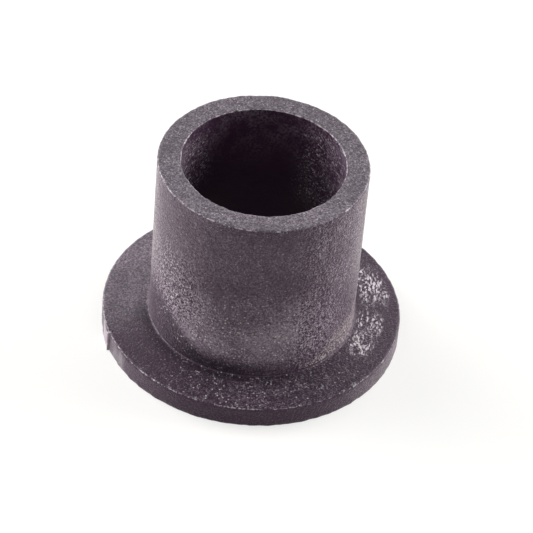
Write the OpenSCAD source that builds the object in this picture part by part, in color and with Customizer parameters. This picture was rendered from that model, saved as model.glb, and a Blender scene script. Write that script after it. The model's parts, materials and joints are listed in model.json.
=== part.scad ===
// Flanged bushing, moulded in one piece of black glass-filled nylon.
// Millimetres. It stands on its flange: the origin is the centre of the
// flange's flat face, and +Z runs up the bore towards the barrel's end.

/* [Bore and barrel] */
// Diameter of the bore, a running fit on a 3/4 in shaft
bore_d = 19.2; // [12:0.1:24]
// Thickness of the barrel's wall
wall = 2.8; // [1.6:0.1:4.4]
// Length over all, the flange included
length = 25.4; // [14:0.2:50]

/* [Flange] */
// Width of the flange's shoulder, from the barrel to the rim
shoulder = 5.6; // [3:0.1:12]
// Thickness of the flange
flange_t = 2.8; // [1.6:0.1:5]

/* [Edges] */
// Radius of the barrel's and the flange's outer edges
outer_edge_r = 0.25; // [0.1:0.05:0.6]
// Radius of the edges at both ends of the bore
bore_edge_r = 0.2; // [0.1:0.05:0.6]
// Radius of the fillet where the barrel meets the flange
root_r = 0.3; // [0.1:0.05:1]

/* [Gate stub] */
// Width of the stub that is left where the moulding was cut off its runner
gate_w = 5; // [2:0.1:8]
// How far the cut face stands out from the rim, at its middle
gate_proud = 0.1; // [0.05:0.01:0.4]
// Direction of the stub, anticlockwise from +X
gate_angle = 194.5; // [0:0.5:359.5]

/* [Hidden] */
$fn = 120;

bore_r = bore_d / 2;
barrel_r = bore_r + wall;
flange_r = barrel_r + shoulder;
// How far the stub's block reaches in behind the rim, to be one with it
gate_bite = 1;
// How far a corner shape reaches past the two sides that it works on
overlap = 0.5;

// The piece between a corner at the origin and an arc of radius r that
// touches both its sides. The arc's centre is on the side that dir_x and
// dir_y point to. Taken away it rounds an edge, and added it fills a root.
module corner(r, dir_x, dir_y) {
    scale([dir_x, dir_y])
        difference() {
            translate([-overlap, -overlap])
                square(r + overlap);
            translate([r, r])
                circle(r);
        }
}

// One half of the section, from the bore's wall outwards
module half_section() {
    difference() {
        union() {
            translate([bore_r, 0])
                square([wall, length]);
            translate([bore_r, 0])
                square([wall + shoulder, flange_t]);
            translate([barrel_r, flange_t])
                corner(root_r, 1, 1);
        }
        translate([barrel_r, length])
            corner(outer_edge_r, -1, -1);
        translate([bore_r, length])
            corner(bore_edge_r, 1, -1);
        translate([bore_r, 0])
            corner(bore_edge_r, 1, 1);
        translate([flange_r, flange_t])
            corner(outer_edge_r, -1, -1);
        translate([flange_r, 0])
            corner(outer_edge_r, -1, 1);
    }
}

// The runner's stub on the rim, cut off flat with a knife
module gate_stub() {
    rotate([0, 0, gate_angle])
        translate([flange_r - gate_bite, -gate_w / 2, 0])
            cube([gate_bite + gate_proud, gate_w, flange_t]);
}

module bushing() {
    color([0.21, 0.18, 0.2])
        union() {
            rotate_extrude()
                half_section();
            gate_stub();
        }
}

bushing();
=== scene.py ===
# The looks of a moulded flanged bushing: black glass-filled nylon, used, scuffed and dusty.
# The moulding is built here with its worn edges and torn gate stub, in the place of the plain solid.

import json
import math
from collections import namedtuple

import bpy
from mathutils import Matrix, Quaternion, Vector


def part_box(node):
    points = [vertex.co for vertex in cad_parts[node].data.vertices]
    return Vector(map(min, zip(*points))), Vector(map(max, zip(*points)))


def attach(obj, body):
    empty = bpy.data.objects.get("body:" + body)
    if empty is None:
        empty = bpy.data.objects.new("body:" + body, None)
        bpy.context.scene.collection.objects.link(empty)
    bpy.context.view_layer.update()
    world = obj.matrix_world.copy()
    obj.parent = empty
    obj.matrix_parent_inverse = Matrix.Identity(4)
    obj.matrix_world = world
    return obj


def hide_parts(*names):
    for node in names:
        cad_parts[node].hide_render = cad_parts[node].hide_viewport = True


MM = 0.001


# Frame

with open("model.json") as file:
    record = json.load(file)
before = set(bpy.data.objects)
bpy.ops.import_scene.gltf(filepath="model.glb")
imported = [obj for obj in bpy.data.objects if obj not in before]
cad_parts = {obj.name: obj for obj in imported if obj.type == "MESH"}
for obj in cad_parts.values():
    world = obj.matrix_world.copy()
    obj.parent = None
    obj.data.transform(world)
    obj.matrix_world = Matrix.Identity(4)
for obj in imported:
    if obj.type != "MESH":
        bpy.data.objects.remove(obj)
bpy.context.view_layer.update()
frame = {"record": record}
mounts = {m["name"]: m for m in frame["record"]["mounts"]}

# Sizes of the solid, in metres, read from the record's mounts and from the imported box
BORE_R = mounts["bore"]["dims"]["r_mm"] * MM
BARREL_R = mounts["barrel"]["dims"]["r_mm"] * MM
FLANGE_T = mounts["shoulder"]["pos_m"][2]
LENGTH = mounts["barrel_end"]["pos_m"][2]
FLANGE_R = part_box("bushing")[1].y

# Edges, as on the solid
OUTER_EDGE_R = 0.25 * MM
BORE_EDGE_R = 0.2 * MM
ROOT_R = 0.3 * MM

# Gate stub: its cut face starts nearly flush with the rim in a direction, and goes on straight, so that
# its other end stands proud
GATE_W = 3.6 * MM
GATE_PROUD = 0.02 * MM
GATE_DIRECTION = 192

# Vertices round the moulding, steps on each edge's rounding, and rows of faces on each wall
AROUND = 480
EDGE_STEPS = 3
RIM_ROWS = 9
SHOULDER_ROWS = 24
BARREL_ROWS = 72
RING_ROWS = 10
BORE_ROWS = 50
UNDERSIDE_ROWS = 16

# Wear of the surface: the size of its lumps and the most that it takes off, in metres
UNEVEN_SIZE, UNEVEN_DEPTH = 3.5 * MM, 0.015 * MM
FRAY_SIZE, FRAY_DEPTH = 0.45 * MM, 0.035 * MM
NICK_SIZE, NICK_DEPTH = 1.0 * MM, 0.05 * MM
TEAR_SIZE, TEAR_DEPTH = 0.8 * MM, 0.16 * MM

# Colours of the nylon and of what marks it, in linear light
NYLON = (0.029, 0.011, 0.026, 1)
FROSTED = (0.400, 0.332, 0.390, 1)
WORN_NYLON = (0.034, 0.030, 0.035, 1)
NYLON_IN_BORE = (0.034, 0.0125, 0.031, 1)
PALE = (0.75, 0.70, 0.73, 1)
# Pale dust, also the colour of painted highlights on the barrel's lit sides and of a painted reflection at
# its foot
DUST_AND_PAINTED_LIGHT = (0.56, 0.50, 0.48, 1)
# Near black for painted shade, with some grime, round the barrel's root and on the shoulder
SHADE_AND_GRIME = (0.008, 0.004, 0.008, 1)
SHINE_TINT = (1, 0.76, 0.98, 1)
NYLON_IOR = 1.4
GLAZE_IOR = 1.55
GLAZE_ROUGHNESS = 0.4
SHEEN_ROUGHNESS = 0.4

# Pale marks: how far they stand out, in mm, and how rough they are
PALE_HEIGHT = 0.012
PALE_ROUGHNESS = 0.75

# Relief of the skin, in mm: how deep its grain is at the least, and its pits
GRAIN_DEPTH = 0.06
PIT_DEPTH = 0.06

# Marked sectors: the middle, half the width and half the soft border, in degrees anticlockwise from +X.
# The camera is at -90, so that left is about 180 and right about 0.
RING_FRONT = (-90, 50, 40)
BARREL_LOW = (-98, 50, 20)
BARREL_LEFT = (-155, 28, 14)
BARREL_LEFT_EDGE = (-168, 22, 12)
BARREL_RIGHT = (-28, 30, 12)
BARREL_NICKED = (-67, 5, 3)
SHOULDER_LEFT = (166, 36, 20)
SHOULDER_FRONT = (-75, 45, 20)
SHOULDER_DARK = (38, 8, 7)
RIM_LEFT = (-140, 30, 15)
RIM_SCRAPED = (209.5, 7, 1.5)
# Dust with a painted warm reflection on the rim's right, painted highlights along the barrel's lit sides,
# and a painted reflection in a crescent at the barrel's foot
RIM_DUST_AND_REFLECTION = (-15, 32, 15)
LEFT_EDGE_HIGHLIGHT = (178, 18, 12)
RIGHT_EDGE_HIGHLIGHT = (-2, 20, 12)
CRESCENT = (-26, 30, 8)
# Where painted shade, with some grime, darkens the barrel's root
SHADED_ROOT = (-132, 44, 18)
RUBBED_LEFT = (168, 30, 12)
RUBBED_RIGHT = (24, 36, 14)

# Marked heights, in mm: from where the low barrel's wear starts down to where it is full, and the limits
# of two bands with half the width of their soft border
LOW_TOP = (16.5, 7.5)
LEFT_HEIGHTS = (8.5, 16.5, 2.5)
NICKED_HEIGHTS = (6.6, 9.0, 0.7)

# Scuffs on the shoulder: sector, inner and outer radius in mm, and strength. The third joins the other two.
SCUFFS = (
    ((21, 12, 5), 13.8, 16.7, 1.0),
    ((-14, 14, 5), 13.1, 15.8, 1.0),
    ((4, 26, 8), 13.4, 15.4, 0.3),
)
SCUFF_FADE = 0.6

# How each part of the outside is worn: its shares of frost and glaze, how strong its roughness is, how much
# deeper its grain is in mm, and how plainly its flecks show. Some parts' frost is painted light. Parts
# overlap, and their wear adds up.
Wear = namedtuple("Wear", "frost glaze roughness grain flecks", defaults=(0, 0, 0, 0, 0))
WEAR = {
    "ring": Wear(frost=0.09, glaze=0.3, roughness=0.9, flecks=0.3),
    # Paler front of the ring: painted light that evens out the lamps round it
    "front ring": Wear(frost=0.045),
    "barrel": Wear(frost=0.155, glaze=0.12, roughness=0.6, grain=0.08, flecks=0.3),
    "low barrel": Wear(frost=0.5, roughness=-0.12, grain=0.06, flecks=1.1),
    # The barrel's left: wear, and paler as a painted highlight on the lit side
    "left barrel": Wear(frost=0.05, glaze=0.25, roughness=1.4, grain=0.1, flecks=0.8),
    "barrel's left edge": Wear(roughness=0.8),
    "right barrel": Wear(roughness=1.8, grain=0.06),
    "shoulder": Wear(frost=0.025, glaze=0.08, roughness=0.6, flecks=0.15),
    # The shoulder's left: paler and greyer, a painted reflection of the bright surroundings
    "left shoulder": Wear(frost=0.185),
    "front shoulder": Wear(frost=0.03, roughness=2.0, flecks=0.4),
    "scuffs": Wear(frost=0.12, roughness=1.2),
    "rim": Wear(frost=0.035, roughness=0.9),
    "left rim": Wear(frost=0.03),
}

# Camera: height above the horizon, distance from the axis at the flange's top, the point that the
# view's centre falls on, and the turn about the view line
CAMERA_ELEVATION = math.radians(42.38)
CAMERA_DISTANCE = 369.9 * MM
CAMERA_TARGET = Vector((1.367, 0, 9.214)) * MM
CAMERA_ROLL = math.radians(5.157)
CAMERA_LENS = 206.85

# Light: soft lamps low and high at the back's two sides and a weak one in front, as azimuth, height
# above the horizon and strength, and an even sky. The floor's glow lifts its paper to white for the camera.
LAMPS = (
    (22, 15, 3.2),
    (45, 45, 1.0),
    (157, 15, 3.2),
    (155, 45, 1.7),
    (265, 25, 0.37),
)
LAMP_SPREAD = math.radians(45)
SKY_LEVEL = 0.2
FLOOR_COLOUR = (0.3, 0.295, 0.275, 1)
FLOOR_GLOW = 0.7


# Mesh tools

def deselect_all():
    for obj in bpy.context.selected_objects:
        obj.select_set(False)


def polar(co):
    """Radius, azimuth and height of a point."""
    return math.hypot(co.x, co.y), math.atan2(co.y, co.x), co.z


def pick(obj, kind, wanted):
    """In edit mode, selects the faces whose middle, or the edges whose two ends, pass the test."""
    bpy.ops.mesh.select_mode(type=kind)
    bpy.ops.mesh.select_all(action="DESELECT")
    bpy.ops.object.mode_set(mode="OBJECT")
    mesh = obj.data
    if kind == "FACE":
        for face in mesh.polygons:
            face.select = wanted(face.center)
    else:
        for edge in mesh.edges:
            first, second = edge.vertices
            edge.select = wanted(mesh.vertices[first].co, mesh.vertices[second].co)
    bpy.ops.object.mode_set(mode="EDIT")


def on_ring(co, radius, height):
    tiny = 0.01 * MM
    r, _, z = polar(co)
    return abs(r - radius) < tiny and abs(z - height) < tiny


def pick_ring(obj, radius, height):
    """Selects the edges that run round the axis at a radius and height."""
    pick(obj, "EDGE", lambda a, b: on_ring(a, radius, height) and on_ring(b, radius, height))


def cut_rows(obj, start, end, rows):
    """Divides the band of faces between two rings, each given as (radius, height), into rows."""
    def joins(a, b):
        return on_ring(a, *start) and on_ring(b, *end) or on_ring(b, *start) and on_ring(a, *end)
    pick(obj, "EDGE", joins)
    bpy.ops.mesh.subdivide(number_cuts=rows - 1)


# The moulding, modelled with its gate stub towards +X and then turned

def model_blank():
    """The turned shape: a disc, with the barrel drawn up from it and the bore put through."""
    bpy.ops.mesh.primitive_cylinder_add(
        vertices=AROUND, radius=FLANGE_R, depth=FLANGE_T, end_fill_type="NGON",
        location=(0, 0, FLANGE_T / 2),
    )
    obj = bpy.context.active_object
    obj.name = "moulding"
    bpy.ops.object.transform_apply(location=True, rotation=False, scale=False)
    bpy.ops.object.mode_set(mode="EDIT")
    pick(obj, "FACE", lambda p: p.z > FLANGE_T * 0.99)
    bpy.ops.mesh.inset(thickness=FLANGE_R - BARREL_R)
    bpy.ops.mesh.extrude_region_move(TRANSFORM_OT_translate={"value": (0, 0, LENGTH - FLANGE_T)})
    bpy.ops.mesh.inset(thickness=BARREL_R - BORE_R)
    pick(obj, "FACE", lambda p: p.z < FLANGE_T * 0.01)
    bpy.ops.mesh.inset(thickness=FLANGE_R - BORE_R)
    pick(obj, "FACE", lambda p: math.hypot(p.x, p.y) < BORE_R * 0.01)
    bpy.ops.mesh.bridge_edge_loops()
    return obj


def round_edges(obj):
    for radius, height, offset in (
        (FLANGE_R, 0, OUTER_EDGE_R),
        (FLANGE_R, FLANGE_T, OUTER_EDGE_R),
        (BARREL_R, LENGTH, OUTER_EDGE_R),
        (BARREL_R, FLANGE_T, ROOT_R),
        (BORE_R, LENGTH, BORE_EDGE_R),
        (BORE_R, 0, BORE_EDGE_R),
    ):
        pick_ring(obj, radius, height)
        bpy.ops.mesh.bevel(offset=offset, segments=EDGE_STEPS, affect="EDGES")


def cut_all_rows(obj):
    """Rows of small faces on every wall, so that wear can shape them."""
    out, bore, root = OUTER_EDGE_R, BORE_EDGE_R, ROOT_R
    cut_rows(obj, (FLANGE_R, out), (FLANGE_R, FLANGE_T - out), RIM_ROWS)
    cut_rows(obj, (BARREL_R + root, FLANGE_T), (FLANGE_R - out, FLANGE_T), SHOULDER_ROWS)
    cut_rows(obj, (BARREL_R, FLANGE_T + root), (BARREL_R, LENGTH - out), BARREL_ROWS)
    cut_rows(obj, (BORE_R + bore, LENGTH), (BARREL_R - out, LENGTH), RING_ROWS)
    cut_rows(obj, (BORE_R, bore), (BORE_R, LENGTH - bore), BORE_ROWS)
    cut_rows(obj, (BORE_R + bore, 0), (FLANGE_R - out, 0), UNDERSIDE_ROWS)


def draw_out_stub(obj):
    """Draws the rim's faces out to the gate's cut face, which is flat."""
    end = math.asin(GATE_W / FLANGE_R)
    inside = FLANGE_R - OUTER_EDGE_R

    def on_gate(p):
        radius, azimuth, _ = polar(p)
        return radius > inside and 0 < azimuth < end
    pick(obj, "FACE", on_gate)
    bpy.ops.mesh.extrude_region_move()
    bpy.ops.transform.resize(value=(0, 1, 1), center_override=(FLANGE_R + GATE_PROUD, 0, 0))
    bpy.ops.object.mode_set(mode="OBJECT")


def weigh(obj, name, weight_of):
    """A vertex group whose weights are worked out from each vertex's place."""
    group = obj.vertex_groups.new(name=name)
    for vertex in obj.data.vertices:
        weight = weight_of(vertex.co)
        if weight > 0:
            group.add([vertex.index], weight, "REPLACE")


def wear_down(obj, name, size, depth, group="", contrast=1.0, level=1.0, direction="NORMAL"):
    """Takes up to depth off the surface, in lumps of a size."""
    texture = bpy.data.textures.new(name, "CLOUDS")
    texture.noise_scale = size
    texture.noise_depth = 3
    texture.contrast = contrast
    texture.intensity = level
    modifier = obj.modifiers.new(name, "DISPLACE")
    modifier.texture = texture
    modifier.texture_coords = "LOCAL"
    modifier.direction = direction
    modifier.mid_level = 0
    modifier.strength = -depth
    modifier.vertex_group = group
    bpy.ops.object.modifier_apply(modifier=name)


def edge_nearness(co):
    """1 on a sharp outer edge, down to 0 a little way off it."""
    reach = 0.5 * MM
    r, _, z = polar(co)
    edges = ((FLANGE_R, 0), (FLANGE_R, FLANGE_T), (BARREL_R, LENGTH), (BORE_R, LENGTH), (BORE_R, 0))
    nearest = min(math.hypot(r - radius, z - height) for radius, height in edges)
    return max(0.0, 1 - nearest / reach)


def on_cut_face(co):
    """How far the gate's cut face stands out from the rim's circle, from 0 up to 1."""
    proud = polar(co)[0] - FLANGE_R
    return max(0.0, min(1.0, proud / (0.3 * MM)))


def wear_surface(obj):
    weigh(obj, "edges", edge_nearness)
    weigh(obj, "cut face", on_cut_face)
    wear_down(obj, "uneven", UNEVEN_SIZE, UNEVEN_DEPTH)
    wear_down(obj, "fray", FRAY_SIZE, FRAY_DEPTH, "edges", contrast=2.0)
    wear_down(obj, "nicks", NICK_SIZE, NICK_DEPTH, "edges", contrast=5.0, level=0.1)
    wear_down(obj, "tear", TEAR_SIZE, TEAR_DEPTH, "cut face", contrast=1.5, direction="X")


def on_bore_wall(center):
    return polar(center)[0] < BORE_R + BORE_EDGE_R * 0.3


def give_finishes(obj):
    """Nylon skin all over, apart from the bore's wall and the gate's cut face."""
    for finish in (nylon_skin(), bore_skin(), cut_skin()):
        obj.data.materials.append(finish)
    for face in obj.data.polygons:
        if on_bore_wall(face.center):
            face.material_index = 1
        elif on_cut_face(face.center) > 0.1:
            face.material_index = 2


def make_moulding():
    obj = model_blank()
    round_edges(obj)
    cut_all_rows(obj)
    draw_out_stub(obj)
    give_finishes(obj)
    wear_surface(obj)
    obj.rotation_euler.z = math.radians(GATE_DIRECTION)
    bpy.ops.object.transform_apply(location=False, rotation=True, scale=False)
    bpy.ops.object.shade_smooth_by_angle(angle=math.radians(50))
    return obj


# Node tools. Places and sizes in the materials are in millimetres, and directions in degrees.

class Nodes:
    """Adds nodes to one tree. Values are numbers, colours or sockets, and each call gives a socket."""

    def __init__(self, tree):
        self.tree = tree

    def put(self, socket, value):
        if isinstance(value, bpy.types.NodeSocket):
            self.tree.links.new(value, socket)
        else:
            socket.default_value = value

    def add(self, kind, inputs=None, **settings):
        node = self.tree.nodes.new(kind)
        for name, value in settings.items():
            setattr(node, name, value)
        for name, value in (inputs or {}).items():
            self.put(node.inputs[name], value)
        return node

    def math(self, operation, *values):
        node = self.add("ShaderNodeMath", operation=operation)
        for socket, value in zip(node.inputs, values):
            self.put(socket, value)
        return node.outputs[0]

    def times(self, *values):
        result = values[0]
        for value in values[1:]:
            result = self.math("MULTIPLY", result, value)
        return result

    def plus(self, *values):
        result = values[0]
        for value in values[1:]:
            result = self.math("ADD", result, value)
        return result

    def most(self, *values):
        result = values[0]
        for value in values[1:]:
            result = self.math("MAXIMUM", result, value)
        return result

    def fade(self, value, start, end, low=0.0, high=1.0, shape="SMOOTHSTEP"):
        """Goes from low, where the value is start, to high, where it is end."""
        node = self.add("ShaderNodeMapRange", interpolation_type=shape)
        for name, number in (
            ("Value", value), ("From Min", start), ("From Max", end), ("To Min", low), ("To Max", high),
        ):
            self.put(node.inputs[name], number)
        return node.outputs["Result"]

    def noise(self, point, size, detail=2.0, roughness=0.5, distortion=0.0):
        """Noise about 0.5, in lumps of a size."""
        scale = self.math("DIVIDE", 1.0, size)
        inputs = {
            "Vector": point, "Scale": scale, "Detail": detail, "Roughness": roughness,
            "Distortion": distortion,
        }
        return self.add("ShaderNodeTexNoise", inputs).outputs[0]

    def mix(self, share, first, second):
        """A colour, from the first at share 0 to the second at share 1."""
        node = self.add("ShaderNodeMix", data_type="RGBA")
        self.put(node.inputs[0], share)
        self.put(node.inputs[6], first)
        self.put(node.inputs[7], second)
        return node.outputs[2]

    def blend(self, share, first, second):
        """A number, from the first at share 0 to the second at share 1."""
        node = self.add("ShaderNodeMix")
        self.put(node.inputs[0], share)
        self.put(node.inputs[2], first)
        self.put(node.inputs[3], second)
        return node.outputs[0]

    def group(self, tree, **inputs):
        """Places a group. An input named edge_radius fills the socket "Edge radius"."""
        node = self.add("ShaderNodeGroup", node_tree=tree)
        for name, value in inputs.items():
            self.put(node.inputs[name.replace("_", " ").capitalize()], value)
        return node.outputs


def start_group(name, inputs, outputs):
    """A group's nodes, its inputs and its outputs. inputs gives each number's default."""
    tree = bpy.data.node_groups.new(name, "ShaderNodeTree")
    for label, value in inputs.items():
        socket = tree.interface.new_socket(label, in_out="INPUT", socket_type="NodeSocketFloat")
        socket.default_value = value
    for label in outputs:
        kind = "NodeSocketVector" if label == "Point" else "NodeSocketFloat"
        tree.interface.new_socket(label, in_out="OUTPUT", socket_type=kind)
    nodes = Nodes(tree)
    return nodes, nodes.add("NodeGroupInput").outputs, nodes.add("NodeGroupOutput").inputs


def place_group():
    """Where a point of the surface lies: itself, its radius, its height and its direction."""
    nodes, _, out = start_group("Place on the turning", {}, ["Point", "Radius", "Height", "Direction"])
    coordinates = nodes.add("ShaderNodeTexCoord").outputs["Object"]
    scaled = nodes.add("ShaderNodeVectorMath", {0: coordinates, "Scale": 1 / MM}, operation="SCALE")
    point = scaled.outputs[0]
    parts = nodes.add("ShaderNodeSeparateXYZ", {0: point}).outputs
    across = nodes.add("ShaderNodeCombineXYZ", {0: parts[0], 1: parts[1]}).outputs[0]
    radius = nodes.add("ShaderNodeVectorMath", {0: across}, operation="LENGTH").outputs["Value"]
    turn = nodes.math("ARCTAN2", parts[1], parts[0])
    nodes.put(out["Point"], point)
    nodes.put(out["Radius"], radius)
    nodes.put(out["Height"], parts[2])
    nodes.put(out["Direction"], nodes.math("DEGREES", turn))
    return nodes.tree


def sector_group(place):
    """A mask over part of the way round."""
    defaults = {"Middle": 0, "Half width": 30, "Fade": 5}
    nodes, given, out = start_group("Sector", defaults, ["Mask"])
    off = nodes.math("SUBTRACT", nodes.group(place)["Direction"], given["Middle"])
    off = nodes.math("ABSOLUTE", nodes.math("WRAP", off, 180.0, -180.0))
    outer = nodes.plus(given["Half width"], given["Fade"])
    inner = nodes.math("SUBTRACT", given["Half width"], given["Fade"])
    nodes.put(out["Mask"], nodes.fade(off, outer, inner))
    return nodes.tree


def band_group():
    """A mask where a value is between two limits."""
    defaults = {"Value": 0, "Low": 0, "High": 1, "Fade": 0.1}
    nodes, given, out = start_group("Band", defaults, ["Mask"])
    above = nodes.fade(
        given["Value"],
        nodes.math("SUBTRACT", given["Low"], given["Fade"]), nodes.plus(given["Low"], given["Fade"]),
    )
    below = nodes.fade(
        given["Value"],
        nodes.plus(given["High"], given["Fade"]), nodes.math("SUBTRACT", given["High"], given["Fade"]),
    )
    nodes.put(out["Mask"], nodes.times(above, below))
    return nodes.tree


def edge_wear_group(place):
    """A thin pale line along an edge that runs round the axis, faint where a noise is below Breaks."""
    defaults = {"Edge radius": 10, "Edge height": 10, "Width": 0.15, "Breaks": 0.5}
    nodes, given, out = start_group("Edge wear", defaults, ["Mask"])
    here = nodes.group(place)
    off_r = nodes.math("SUBTRACT", here["Radius"], given["Edge radius"])
    off_z = nodes.math("SUBTRACT", here["Height"], given["Edge height"])
    off = nodes.math("SQRT", nodes.plus(nodes.times(off_r, off_r), nodes.times(off_z, off_z)))
    ragged = nodes.noise(here["Point"], 0.45, detail=3.0)
    width = nodes.times(given["Width"], nodes.fade(ragged, 0.3, 0.7, 0.6, 1.5))
    line = nodes.fade(off, width, nodes.times(width, 0.5))
    gaps = nodes.noise(here["Point"], 0.9, detail=3.0)
    low = nodes.math("SUBTRACT", given["Breaks"], 0.15)
    kept = nodes.fade(gaps, low, nodes.plus(given["Breaks"], 0.15), 0.3, 1.0)
    nodes.put(out["Mask"], nodes.times(line, kept))
    return nodes.tree


def grain_group(place):
    """The grain of the mould's surface, as a height in mm, and a cloudy mottle from 0 to 1."""
    defaults = {"Size": 0.3, "Depth": 0.02, "Mottle size": 4}
    nodes, given, out = start_group("Moulded grain", defaults, ["Height", "Mottle"])
    point = nodes.group(place)["Point"]
    fine = nodes.noise(point, given["Size"], detail=3.0, roughness=0.6)
    broad = nodes.noise(point, nodes.times(given["Size"], 5.0), detail=2.0)
    height = nodes.plus(nodes.times(fine, given["Depth"]), nodes.times(broad, given["Depth"], 0.8))
    mottle = nodes.noise(point, given["Mottle size"], detail=4.0, roughness=0.6)
    nodes.put(out["Height"], height)
    nodes.put(out["Mottle"], nodes.fade(mottle, 0.32, 0.68))
    return nodes.tree


def speckle_group(place):
    """Fine flecks and pits, one to a cell. Amount is the share of cells that hold a fleck."""
    defaults = {"Size": 0.26, "Amount": 0.35}
    nodes, given, out = start_group("Speckle", defaults, ["Flecks", "Pits"])
    cells = nodes.add("ShaderNodeTexVoronoi", {
        "Vector": nodes.group(place)["Point"], "Scale": nodes.math("DIVIDE", 1.0, given["Size"]),
    }).outputs
    lots = nodes.add("ShaderNodeSeparateColor", {0: cells["Color"]}).outputs
    spot = nodes.fade(cells["Distance"], 0.62, 0.3)
    threshold = nodes.math("SUBTRACT", 1.0, given["Amount"])
    nodes.put(out["Flecks"], nodes.times(spot, nodes.fade(lots[0], threshold, 1.0)))
    nodes.put(out["Pits"], nodes.times(spot, nodes.fade(lots[1], 0.55, 0.9)))
    return nodes.tree


def fibre_group(place):
    """Short pale bars that cross each other: ends of glass fibres, or close together, scuff marks."""
    defaults = {"Spacing": 0.5, "Thickness": 0.16, "Amount": 0.5, "Stretch": 3.5}
    nodes, given, out = start_group("Fibre ends", defaults, ["Mask"])
    point = nodes.group(place)["Point"]
    bend = nodes.add("ShaderNodeTexNoise", {"Vector": point, "Scale": 1.2, "Detail": 1.0}).outputs["Color"]
    bent = nodes.add(
        "ShaderNodeVectorMath", {0: bend, 1: (0.7, 0.7, 0.7), 2: point}, operation="MULTIPLY_ADD",
    ).outputs[0]
    shrink = nodes.math("DIVIDE", 1.0, given["Stretch"])
    squeeze = nodes.add("ShaderNodeCombineXYZ", {0: 1.0, 1: shrink, 2: 1.0}).outputs[0]
    masks = []
    for turn in ((0.2, 0.3, 0.5), (0.9, 0.1, 1.4), (0.4, 1.1, 2.3), (1.3, 0.5, 3.0)):
        turned = nodes.add("ShaderNodeMapping", {"Vector": bent, "Rotation": turn, "Scale": squeeze})
        cells = nodes.add("ShaderNodeTexVoronoi", {
            "Vector": turned.outputs[0], "Scale": nodes.math("DIVIDE", 1.0, given["Spacing"]),
        }).outputs
        bar = nodes.fade(cells["Distance"], given["Thickness"], nodes.times(given["Thickness"], 0.6))
        lots = nodes.add("ShaderNodeSeparateColor", {0: cells["Color"]}).outputs
        drawn = nodes.math("LESS_THAN", lots[0], given["Amount"])
        masks.append(nodes.times(bar, drawn, nodes.fade(lots[1], 0.0, 1.0, 0.3, 1.0)))
    nodes.put(out["Mask"], nodes.most(*masks))
    return nodes.tree


def streak_group(place):
    """Noise about 0.5 that is drawn out up and down, the more the smaller the height scale."""
    defaults = {"Size": 0.9, "Height scale": 0.3}
    nodes, given, out = start_group("Streaks", defaults, ["Level"])
    squeeze = nodes.add("ShaderNodeCombineXYZ", {0: 1.0, 1: 1.0, 2: given["Height scale"]}).outputs[0]
    point = nodes.group(place)["Point"]
    drawn_out = nodes.add("ShaderNodeVectorMath", {0: point, 1: squeeze}, operation="MULTIPLY").outputs[0]
    nodes.put(out["Level"], nodes.noise(drawn_out, given["Size"], detail=3.0))
    return nodes.tree


PLACE = place_group()
SECTOR = sector_group(PLACE)
BAND = band_group()
EDGE_WEAR = edge_wear_group(PLACE)
GRAIN = grain_group(PLACE)
SPECKLE = speckle_group(PLACE)
FIBRES = fibre_group(PLACE)
STREAKS = streak_group(PLACE)


# Finishes. A part of the surface is a mask, 1 on it and 0 off it, with a soft border.

class Finish(Nodes):
    """One material, whose frost, dust and painted light, painted shade and grime, and pale marks are laid
    over its nylon in that order.
    """

    def __init__(self, name):
        self.material = bpy.data.materials.new(name)
        self.material.use_nodes = True
        super().__init__(self.material.node_tree)
        self.shader = self.tree.nodes["Principled BSDF"]
        self.here = self.group(PLACE)

    def sector(self, middle, half_width, fade):
        return self.group(SECTOR, middle=middle, half_width=half_width, fade=fade)["Mask"]

    def band(self, value, low, high, fade=0.1):
        return self.group(BAND, value=value, low=low, high=high, fade=fade)["Mask"]

    def lay(
        self, nylon, frost, pale, relief, glaze, roughness, dust_and_light=None, shade_and_grime=None, shine=0.4, sheen=0.22,
    ):
        """Wires the shader. Frost, pale, glaze, dust with painted light, and painted shade with grime are
        shares, and relief is in mm.
        """
        colour = nylon
        for share, layer in ((frost, FROSTED), (dust_and_light, DUST_AND_PAINTED_LIGHT), (shade_and_grime, SHADE_AND_GRIME), (pale, PALE)):
            if share is not None:
                colour = self.mix(share, colour, layer)
        relief = self.plus(relief, self.times(pale, PALE_HEIGHT))
        bump = self.add("ShaderNodeBump", {"Height": relief, "Distance": MM})
        for name, value in (
            ("Base Color", colour),
            ("Roughness", self.blend(pale, roughness, PALE_ROUGHNESS)),
            ("Normal", bump.outputs[0]),
            ("IOR", NYLON_IOR),
            ("Specular IOR Level", shine),
            ("Specular Tint", SHINE_TINT),
            ("Sheen Weight", sheen),
            ("Sheen Roughness", SHEEN_ROUGHNESS),
            ("Sheen Tint", SHINE_TINT),
            ("Coat Weight", glaze),
            ("Coat Roughness", GLAZE_ROUGHNESS),
            ("Coat IOR", GLAZE_IOR),
        ):
            self.put(self.shader.inputs[name], value)
        return self.material


def edge_lines(finish):
    """The worn lines along all the outer edges, with their widths in mm and how broken they are."""
    lines = []
    for radius, height, width, breaks in (
        (FLANGE_R, FLANGE_T, 0.13, 0.44),
        (BARREL_R, LENGTH, 0.12, 0.42),
        (BORE_R, LENGTH, 0.12, 0.34),
        (FLANGE_R, 0, 0.12, 0.60),
    ):
        line = finish.group(
            EDGE_WEAR, edge_radius=radius / MM, edge_height=height / MM, width=width, breaks=breaks,
        )
        lines.append(line["Mask"])
    return finish.most(*lines)


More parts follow.
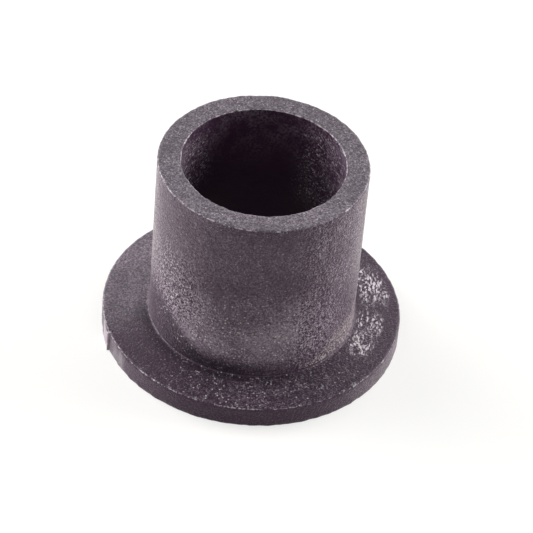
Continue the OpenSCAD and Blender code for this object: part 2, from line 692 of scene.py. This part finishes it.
def skin_parts(skin):
    """A mask for each part of the moulded outside that is worn in its own way."""
    height, radius = skin.here["Height"], skin.here["Radius"]
    foot, top, barrel_r = FLANGE_T / MM, LENGTH / MM, BARREL_R / MM
    ring = skin.fade(height, top - 0.3, top - 0.05)
    barrel = skin.band(height, foot + 0.2, top - 0.2)
    level = skin.band(height, foot - 0.15, foot + 0.15, 0.05)
    shoulder = skin.times(level, skin.fade(radius, barrel_r, barrel_r + 0.2))
    rim = skin.fade(height, foot - 0.1, foot - 0.25)
    low = skin.times(skin.fade(height, *LOW_TOP), skin.fade(height, foot + 0.8, foot + 3.6))
    scuffs = [
        skin.times(skin.sector(*sector), skin.band(radius, inner, outer, SCUFF_FADE), strength)
        for sector, inner, outer, strength in SCUFFS
    ]
    return {
        "ring": ring,
        "front ring": skin.times(ring, skin.sector(*RING_FRONT)),
        "barrel": barrel,
        "low barrel": skin.times(barrel, skin.sector(*BARREL_LOW), low),
        "left barrel": skin.times(barrel, skin.sector(*BARREL_LEFT), skin.band(height, *LEFT_HEIGHTS)),
        "barrel's left edge": skin.times(barrel, skin.sector(*BARREL_LEFT_EDGE)),
        "right barrel": skin.times(barrel, skin.sector(*BARREL_RIGHT)),
        "shoulder": shoulder,
        "left shoulder": skin.times(shoulder, skin.sector(*SHOULDER_LEFT)),
        "front shoulder": skin.times(shoulder, skin.sector(*SHOULDER_FRONT)),
        "scuffs": skin.times(shoulder, skin.most(*scuffs)),
        "rim": rim,
        "left rim": skin.times(rim, skin.sector(*RIM_LEFT)),
    }


def worn(skin, parts, kind):
    """Adds up one kind of wear over the parts that have it."""
    shares = [(parts[name], getattr(wear, kind)) for name, wear in WEAR.items()]
    return skin.plus(*[skin.times(part, share) for part, share in shares if share])


def pale_marks(skin, parts, flecks):
    """Flecks, ends of glass fibres, worn edges, scuff marks and the scrape beside the gate stub."""
    strokes = skin.group(FIBRES, spacing=0.36, thickness=0.34, amount=0.95, stretch=4)["Mask"]
    cloud = skin.fade(skin.noise(skin.here["Point"], 1.6, detail=4.0, roughness=0.65), 0.38, 0.6)
    scuffs = skin.times(parts["scuffs"], strokes, skin.blend(cloud, 0.5, 2.2))
    nicked = skin.times(skin.sector(*BARREL_NICKED), skin.band(skin.here["Height"], *NICKED_HEIGHTS))
    nicks = skin.times(parts["barrel"], nicked, strokes, 0.5)
    streaks = skin.group(STREAKS, size=0.9, height_scale=0.3)["Level"]
    streaks = skin.fade(streaks, 0.35, 0.65, 0.05, 0.3)
    scraped = skin.times(parts["rim"], skin.sector(*RIM_SCRAPED), streaks)
    fibres = skin.group(FIBRES, spacing=0.55, thickness=0.2, amount=0.35)["Mask"]
    share = worn(skin, parts, "flecks")
    return skin.most(
        scraped, nicks, scuffs, skin.times(flecks, share), skin.times(fibres, share, 0.5),
        skin.times(edge_lines(skin), 0.55),
    )


def dust_and_painted_light(skin, parts, rough):
    """Pale dust and painted light: a painted reflection in a crescent at the barrel's foot, higher towards
    the right, and painted highlights along both sides.
    """
    height, direction, foot = skin.here["Height"], skin.here["Direction"], FLANGE_T / MM
    top = skin.plus(
        skin.fade(direction, -56, -30, foot + 0.8, foot + 3.7), skin.fade(direction, -20, -2, 0.0, 3.0),
    )
    # Painted reflection of the scuffed shoulder, in a crescent at the barrel's foot
    crescent = skin.times(
        parts["barrel"], skin.sector(*CRESCENT), skin.fade(skin.math("SUBTRACT", height, top), 0.4, -0.6),
        skin.plus(skin.fade(direction, -50, -12, 0.25, 0.6), skin.times(rough, 1.3)),
    )
    # Painted highlights along the barrel's lit sides, partly over its worn left part, and dust with a
    # painted warm reflection on the rim's right
    sides = skin.most(
        skin.times(parts["barrel"], skin.sector(*LEFT_EDGE_HIGHLIGHT), 3.4),
        skin.times(parts["barrel"], skin.sector(*RIGHT_EDGE_HIGHLIGHT), 1.5),
        skin.times(parts["left barrel"], 0.7),
        skin.times(parts["rim"], skin.sector(*RIM_DUST_AND_REFLECTION)),
    )
    return skin.most(crescent, skin.times(sides, skin.plus(0.09, skin.times(rough, 0.13))))


def painted_shade_and_grime(skin, parts, wrinkles):
    """Painted shade, with some grime, in the corner round the barrel's root, higher towards the left;
    darker patches on the shoulder's front, partly painted shade; and a darker patch behind the scuffs.
    """
    height, foot = skin.here["Height"], FLANGE_T / MM
    top = skin.fade(skin.here["Direction"], -150, -110, foot + 7.0, foot + 2.6)
    # Painted shade in the corner between barrel and shoulder
    root = skin.times(
        skin.sector(*SHADED_ROOT), skin.fade(skin.math("SUBTRACT", height, top), 0.0, -2.0),
        skin.fade(skin.here["Radius"], 14.8, 12.9), 1.5,
    )
    # Darker patches on the shoulder's front, partly painted shade where the barrel shades it
    patches = skin.times(parts["front shoulder"], skin.fade(wrinkles, 0.56, 0.4, 0.5, 1.2))
    # A darker patch on the shoulder behind the scuffs
    behind_scuffs = skin.times(parts["shoulder"], skin.sector(*SHOULDER_DARK))
    return skin.times(skin.most(root, patches, behind_scuffs), 0.55)


def nylon_skin():
    """The moulded outside: barrel, shoulder, rim and end ring."""
    skin = Finish("nylon skin")
    point = skin.here["Point"]
    parts = skin_parts(skin)

    # Roughness from about -1.5 up to 2.7, dark with fine bright points
    fine = skin.fade(skin.noise(point, 0.22, roughness=0.7), 0.34, 0.68, shape="LINEAR")
    wrinkles = skin.noise(point, 0.8, detail=3.0, roughness=0.65, distortion=1.2)
    rough = skin.plus(
        skin.times(skin.math("POWER", fine, 1.8), 3.6),
        skin.fade(wrinkles, 0.34, 0.66, -1.55, -0.85, "LINEAR"),
    )
    change = skin.times(rough, worn(skin, parts, "roughness"))
    depth = skin.plus(GRAIN_DEPTH, worn(skin, parts, "grain"))
    grain = skin.group(GRAIN, size=0.3, depth=depth, mottle_size=5.0)
    speckle = skin.group(SPECKLE, size=0.22, amount=0.14)

    # Frost and glaze follow the roughness, and frost is mottled too
    mottle = skin.blend(grain["Mottle"], 0.6, 1.4)
    frost = skin.times(worn(skin, parts, "frost"), mottle, skin.plus(1.0, change))
    glaze = skin.times(worn(skin, parts, "glaze"), skin.fade(change, -1.0, 1.0, 0.0, 2.0, "LINEAR"))
    relief = skin.plus(grain["Height"], skin.times(speckle["Pits"], -PIT_DEPTH))

    # Greyer nylon on the ring and shoulder; on the shoulder's left, a painted reflection
    greyed = skin.most(parts["ring"], parts["left shoulder"], skin.times(parts["shoulder"], 0.4))
    nylon = skin.mix(greyed, NYLON, WORN_NYLON)
    pale = pale_marks(skin, parts, speckle["Flecks"])
    # Pale dust, with painted highlights on the barrel's sides and a painted reflection at its foot
    dust_and_light = dust_and_painted_light(skin, parts, rough)
    # Painted shade, with some grime, at the barrel's root, and darker patches on the shoulder
    shade_and_grime = painted_shade_and_grime(skin, parts, wrinkles)
    return skin.lay(nylon, frost, pale, relief, glaze=glaze, roughness=0.33, dust_and_light=dust_and_light, shade_and_grime=shade_and_grime)


def bore_skin():
    """The bore's wall, dark and rubbed in two patches near its mouth, with painted light towards the mouth.
    """
    skin = Finish("rubbed bore")
    height, top = skin.here["Height"], LENGTH / MM
    grain = skin.group(GRAIN, size=0.42, depth=0.05, mottle_size=3.0)
    strokes = skin.group(FIBRES, spacing=0.4, thickness=0.3, amount=0.8)["Mask"]
    fine = skin.noise(skin.here["Point"], 0.3, roughness=0.7)
    rough = skin.fade(fine, 0.40, 0.66, 0.0, 2.4, "LINEAR")
    left = skin.times(skin.sector(*RUBBED_LEFT), skin.band(height, 16.5, 24.0, 2.0))
    right = skin.times(skin.sector(*RUBBED_RIGHT), skin.band(height, 13.0, 24.5, 3.0))
    rubbed = skin.most(skin.times(left, 1.3), skin.times(right, 0.85))
    # Paler towards the mouth: painted light that falls in at the opening
    light_near_mouth = skin.fade(height, top - 10.0, top)
    share = skin.plus(skin.times(rubbed, 0.15), skin.times(light_near_mouth, 0.16))
    frost = skin.times(rough, grain["Mottle"], share)
    pale = skin.most(skin.times(rubbed, strokes, rough, 0.5), skin.times(edge_lines(skin), 0.5))
    glaze = skin.times(rough, rubbed, 0.3)
    return skin.lay(
        NYLON_IN_BORE, frost, pale, grain["Height"], glaze=glaze, roughness=0.5, shine=0.15, sheen=0.1,
    )


def cut_skin():
    """The gate's cut face: torn, pale and streaked up and down."""
    skin = Finish("cut gate")
    grain = skin.group(GRAIN, size=0.4, depth=0.04, mottle_size=1.2)
    streaks = skin.group(STREAKS, size=0.5, height_scale=0.25)["Level"]
    torn = skin.fade(streaks, 0.45, 0.7)
    frost = skin.plus(0.5, skin.times(grain["Mottle"], 0.5))
    pale = skin.times(skin.plus(0.2, skin.times(torn, 0.8)), 0.6)
    return skin.lay(NYLON, frost, pale, grain["Height"], glaze=0.3, roughness=0.5)


# Stage

def make_floor():
    bpy.ops.mesh.primitive_plane_add(size=6, location=(0, 0, 0))
    floor = bpy.context.active_object
    floor.name = "floor"
    material = bpy.data.materials.new("floor paper")
    material.use_nodes = True
    nodes = Nodes(material.node_tree)
    material.node_tree.nodes.remove(material.node_tree.nodes["Principled BSDF"])
    paper = nodes.add("ShaderNodeBsdfDiffuse", {"Color": FLOOR_COLOUR}).outputs[0]
    strength = nodes.times(seen_directly(nodes), FLOOR_GLOW)
    glow = nodes.add("ShaderNodeEmission", {"Strength": strength}).outputs[0]
    both = nodes.add("ShaderNodeAddShader", {0: paper, 1: glow}).outputs[0]
    nodes.put(material.node_tree.nodes["Material Output"].inputs["Surface"], both)
    floor.data.materials.append(material)


def seen_directly(nodes):
    """1 for what the camera sees, also in a reflection or through glass."""
    path = nodes.add("ShaderNodeLightPath").outputs
    return nodes.most(path["Is Camera Ray"], path["Is Glossy Ray"], path["Is Transmission Ray"])


def make_sky():
    world = bpy.data.worlds.new("white surroundings")
    world.use_nodes = True
    bpy.context.scene.world = world
    nodes = Nodes(world.node_tree)
    strength = nodes.blend(seen_directly(nodes), SKY_LEVEL, 1.0)
    background = world.node_tree.nodes["Background"]
    background.inputs["Color"].default_value = (1, 1, 1, 1)
    nodes.put(background.inputs["Strength"], strength)


def make_lamps():
    for azimuth, elevation, strength in LAMPS:
        data = bpy.data.lights.new("lamp", "SUN")
        data.energy = strength
        data.angle = LAMP_SPREAD
        lamp = bpy.data.objects.new("lamp", data)
        bpy.context.scene.collection.objects.link(lamp)
        lamp.rotation_euler = (0, math.radians(90 - elevation), math.radians(azimuth))


def make_camera():
    data = bpy.data.cameras.new("camera")
    camera = bpy.data.objects.new("camera", data)
    bpy.context.scene.collection.objects.link(camera)
    back = Vector((0, -math.cos(CAMERA_ELEVATION), math.sin(CAMERA_ELEVATION)))
    camera.location = Vector((0, 0, FLANGE_T)) + back * CAMERA_DISTANCE
    level = (CAMERA_TARGET - camera.location).to_track_quat("-Z", "Y")
    camera.rotation_mode = "QUATERNION"
    camera.rotation_quaternion = level @ Quaternion((0, 0, 1), CAMERA_ROLL)
    data.lens = CAMERA_LENS
    data.clip_start = 0.01
    bpy.context.scene.camera = camera


# The scene

deselect_all()
moulding = make_moulding()
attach(moulding, "root")
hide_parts("bushing")
deselect_all()
make_floor()
make_sky()
make_lamps()
make_camera()
bpy.context.scene.view_settings.view_transform = "Standard"
